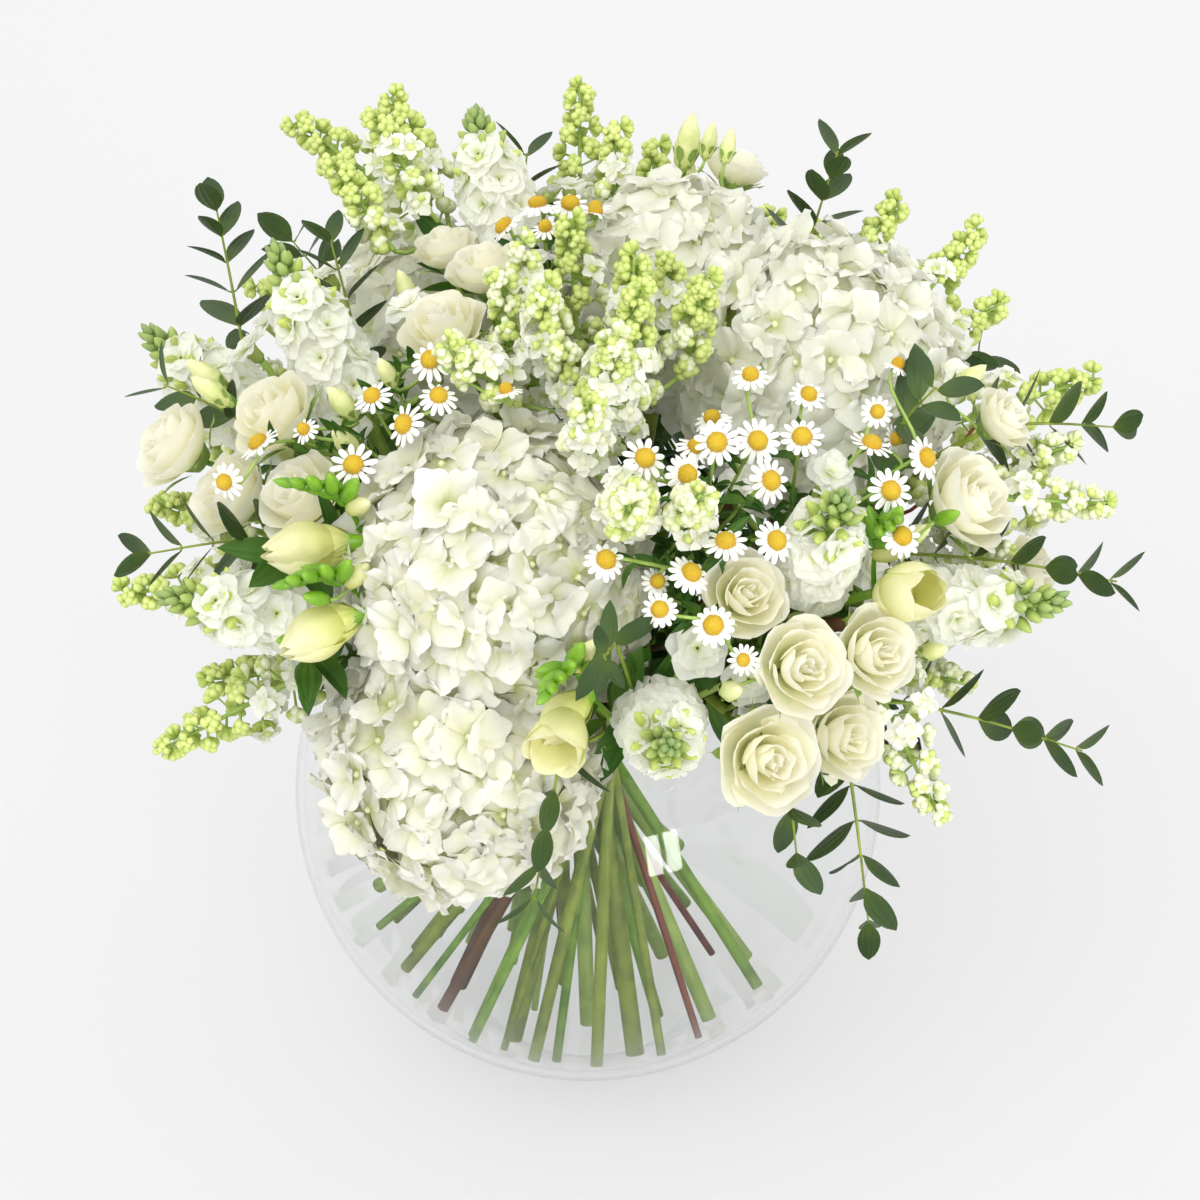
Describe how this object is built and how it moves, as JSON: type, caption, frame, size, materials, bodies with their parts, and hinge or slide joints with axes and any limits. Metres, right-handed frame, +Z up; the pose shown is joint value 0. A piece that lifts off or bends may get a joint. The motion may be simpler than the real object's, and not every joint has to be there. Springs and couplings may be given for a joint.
{
  "type": "floral centerpiece",
  "caption": "Hand-tied white and green bouquet of hydrangea, lilac, stock, roses, freesia, chamomile and eucalyptus standing in a clear round glass bowl.",
  "frame": {"origin": "centre of the bowl's flat base, on the table", "axes": "+Z up, -Y towards the front of the bouquet, +X to its right seen from the front"},
  "size_m": [0.4649, 0.4422, 0.4456],
  "materials": {
    "glass": "clear, smooth, thin blown glass",
    "twine": "dull twisted twine",
    "hydrangea_petals": "soft matt petals, white with a pale green tint",
    "green_stems": "smooth green stems with a soft sheen",
    "lilac": "matt lime-green buds",
    "stock": "soft matt ruffled white petals",
    "cream_petals": "soft cream petals",
    "freesia": "waxy pale yellow petals and green buds",
    "chamomile": "matt white rays",
    "eucalyptus": "dark green leaves with a soft sheen"
  },
  "bodies": {
    "root": {"bowl": "glass", "tie": "twine", "chamomile_1": "chamomile", "chamomile_2": "chamomile", "chamomile_3": "chamomile", "chamomile_4": "chamomile", "chamomile_5": "chamomile", "freesia_1": "freesia", "freesia_2": "freesia", "freesia_3": "freesia", "freesia_4": "freesia", "freesia_5": "freesia", "rose_1": "cream_petals", "rose_2": "cream_petals", "rose_3": "cream_petals", "rose_4": "cream_petals", "rose_5": "cream_petals", "rose_6": "cream_petals", "rose_7": "cream_petals", "rose_8": "cream_petals", "eucalyptus_1": "eucalyptus", "eucalyptus_2": "eucalyptus", "eucalyptus_3": "eucalyptus", "eucalyptus_4": "eucalyptus", "eucalyptus_5": "eucalyptus", "eucalyptus_6": "eucalyptus", "eucalyptus_7": "eucalyptus", "eucalyptus_8": "eucalyptus", "eucalyptus_9": "eucalyptus", "eucalyptus_10": "eucalyptus", "eucalyptus_11": "eucalyptus", "stock_1": "stock", "stock_2": "stock", "stock_3": "stock", "stock_4": "stock", "stock_5": "stock", "stock_6": "stock", "stock_7": "stock", "stock_8": "stock", "lilac_1": "lilac", "lilac_2": "lilac", "lilac_3": "lilac", "lilac_4": "lilac", "lilac_5": "lilac", "lilac_6": "lilac", "lilac_7": "lilac", "lilac_8": "lilac", "lilac_9": "lilac", "lilac_10": "lilac", "lilac_11": "lilac", "hydrangea_1_head": "hydrangea_petals", "hydrangea_1_stem": "green_stems", "hydrangea_2_head": "hydrangea_petals", "hydrangea_2_stem": "green_stems", "hydrangea_3_head": "hydrangea_petals", "hydrangea_3_stem": "green_stems", "hydrangea_4_head": "hydrangea_petals", "hydrangea_4_stem": "green_stems", "hydrangea_5_head": "hydrangea_petals", "hydrangea_5_stem": "green_stems"}
  },
  "joints": []
}
